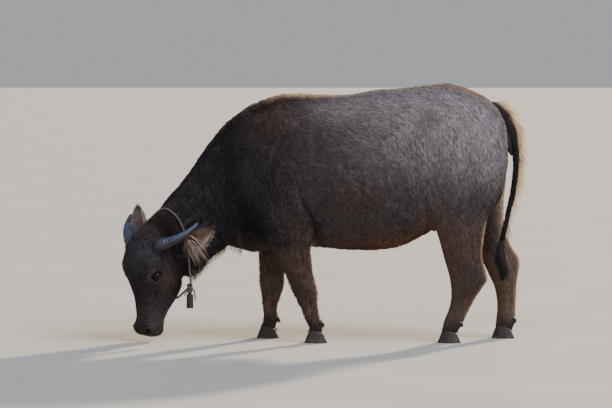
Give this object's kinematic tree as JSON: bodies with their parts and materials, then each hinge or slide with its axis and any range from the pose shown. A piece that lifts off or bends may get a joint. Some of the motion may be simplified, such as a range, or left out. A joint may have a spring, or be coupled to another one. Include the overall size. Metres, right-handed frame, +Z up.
{
  "type": "grazing water buffalo",
  "caption": "Life-size still model of a young water buffalo grazing, head down and turned, one hind foot forward, with a rope collar and a small wooden bell.",
  "frame": {"origin": "middle of the whole's outline as seen from above, on the floor that the soles stand on", "axes": "+X towards the rump and the tail, -X towards the head, -Y to the animal's left side, +Z up"},
  "size_m": [1.7338, 0.5156, 1.1088],
  "materials": {
    "bell": "dark weathered wood",
    "eye": "wet and very dark brown",
    "hair": "coarse black hair",
    "hide": "short dark grey-brown hair over slate hide, matte",
    "hoof": "dark horn, worn and dusty",
    "horn": "slate grey horn, ridged at the root, half gloss",
    "rope": "worn grey twisted cord"
  },
  "bodies": {
    "root": {"bell": "bell", "claw_fore_left_inner": "hoof", "claw_fore_left_outer": "hoof", "claw_fore_right_inner": "hoof", "claw_fore_right_outer": "hoof", "claw_hind_left_inner": "hoof", "claw_hind_left_outer": "hoof", "claw_hind_right_inner": "hoof", "claw_hind_right_outer": "hoof", "collar_knot": "rope", "collar_rope": "rope", "dewclaw_fore_left_inner": "hoof", "dewclaw_fore_left_outer": "hoof", "dewclaw_fore_right_inner": "hoof", "dewclaw_fore_right_outer": "hoof", "dewclaw_hind_left_inner": "hoof", "dewclaw_hind_left_outer": "hoof", "dewclaw_hind_right_inner": "hoof", "dewclaw_hind_right_outer": "hoof", "ear_left": "hide", "ear_right": "hide", "eye_left": "eye", "eye_right": "eye", "foreleg_left": "hide", "foreleg_right": "hide", "head": "hide", "hindleg_left": "hide", "hindleg_right": "hide", "horn_left": "horn", "horn_right": "horn", "neck": "hide", "tail_lower": "hide", "tail_switch": "hair", "tail_upper": "hide", "torso": "hide"}
  },
  "joints": []
}
